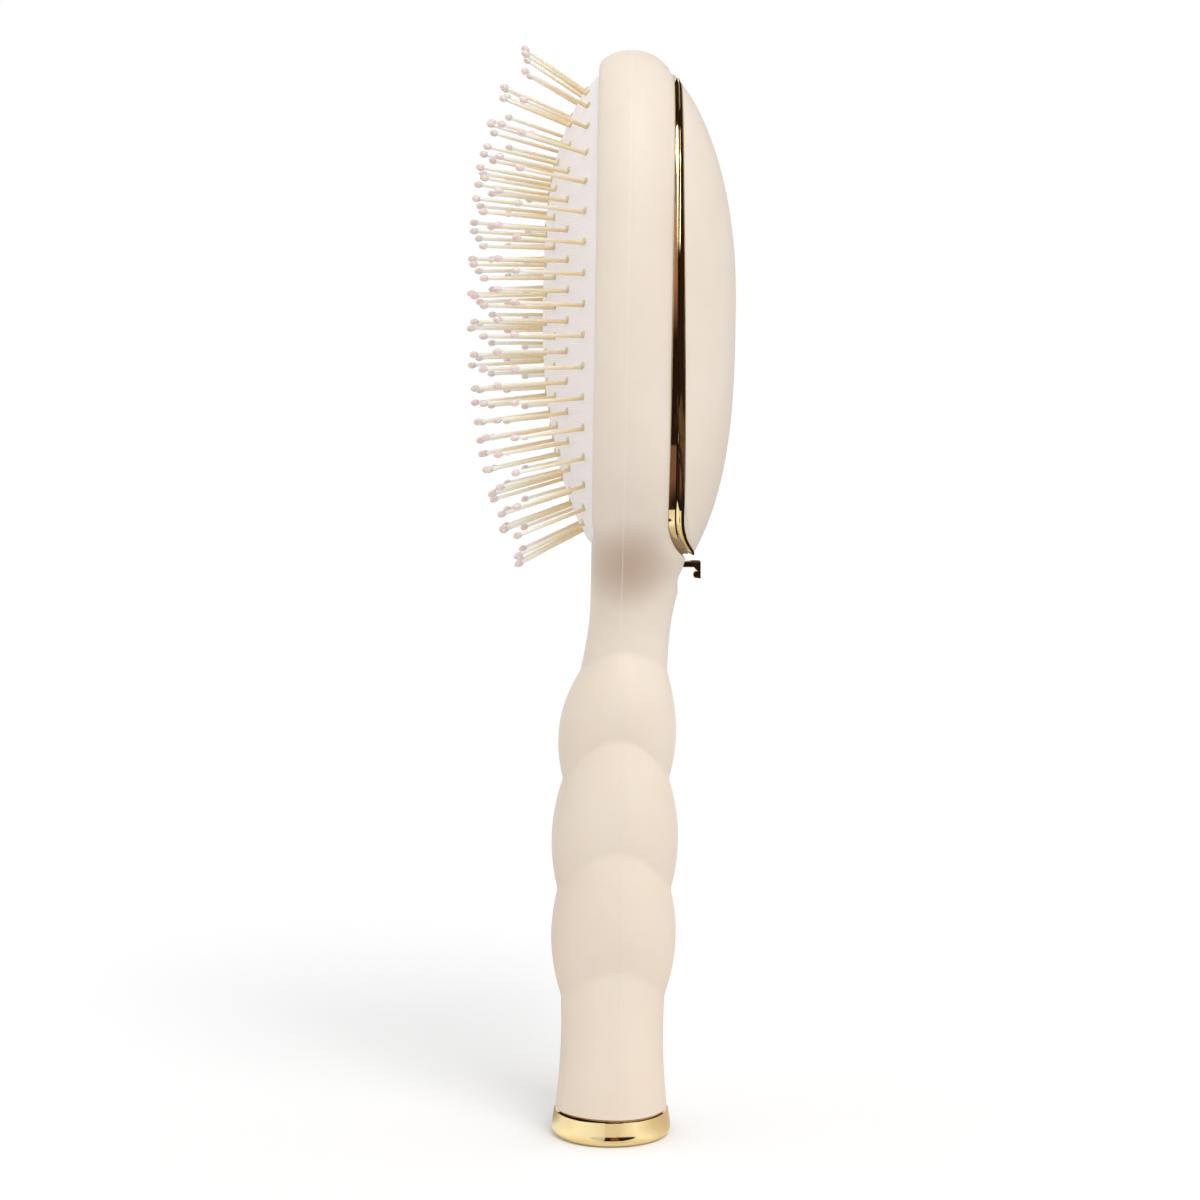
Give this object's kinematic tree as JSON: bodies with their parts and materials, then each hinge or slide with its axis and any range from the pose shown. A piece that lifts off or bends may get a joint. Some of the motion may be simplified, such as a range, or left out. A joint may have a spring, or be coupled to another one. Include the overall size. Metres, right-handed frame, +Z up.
{
  "type": "detangling brush",
  "caption": "Oval detangling brush with ball-tipped pins on an air cushion, a bubble-shaped handle and a hinged lid over a storage compartment in its back.",
  "frame": {"origin": "centre of the cap's bottom face, on which the brush stands", "axes": "+Z up the handle to the crown, -X towards the pins, +X towards the lid, Y across the head"},
  "size_m": [0.0608, 0.08, 0.2452],
  "materials": {
    "soft_cream": "soft-touch matte",
    "inner_cream": "moulded satin",
    "pad_rubber": "matte rubber",
    "nylon": "translucent nylon",
    "white_resin": "moulded",
    "gold": "polished gold plate",
    "steel": "plain"
  },
  "bodies": {
    "brush": {"front_shell": "soft_cream", "back_shell": "soft_cream", "cushion": "pad_rubber", "pad_plate": "white_resin", "pins_ring_outer": "nylon", "pins_ring_second": "nylon", "pins_ring_third": "nylon", "pins_ring_fourth": "nylon", "pins_row_centre": "nylon", "plate_screws": "steel", "compartment_tray": "inner_cream", "seat_trim": "gold", "hinge_bracket": "inner_cream", "hinge_pin": "steel", "base_cap": "gold", "end_plug": "white_resin", "release_spring": "steel"},
    "lid": {"lid_shell": "soft_cream", "lid_bezel": "gold", "lid_frame": "inner_cream", "lid_screws": "steel"},
    "release": {"release_tab": "gold", "release_slider": "white_resin"}
  },
  "joints": [
    {"name": "lid_hinge", "type": "hinge", "parent": "brush", "child": "lid", "pos_m": [0.01366, 0, 0.23758], "axis": [0, -1, 0], "range_deg": [0, 110]},
    {"name": "release_push", "type": "slide", "parent": "brush", "child": "release", "axis": [-1, 0, 0], "range_m": [0, 0.0022], "stiffness_N_per_m": 600, "springref_m": -0.0015}
  ]
}
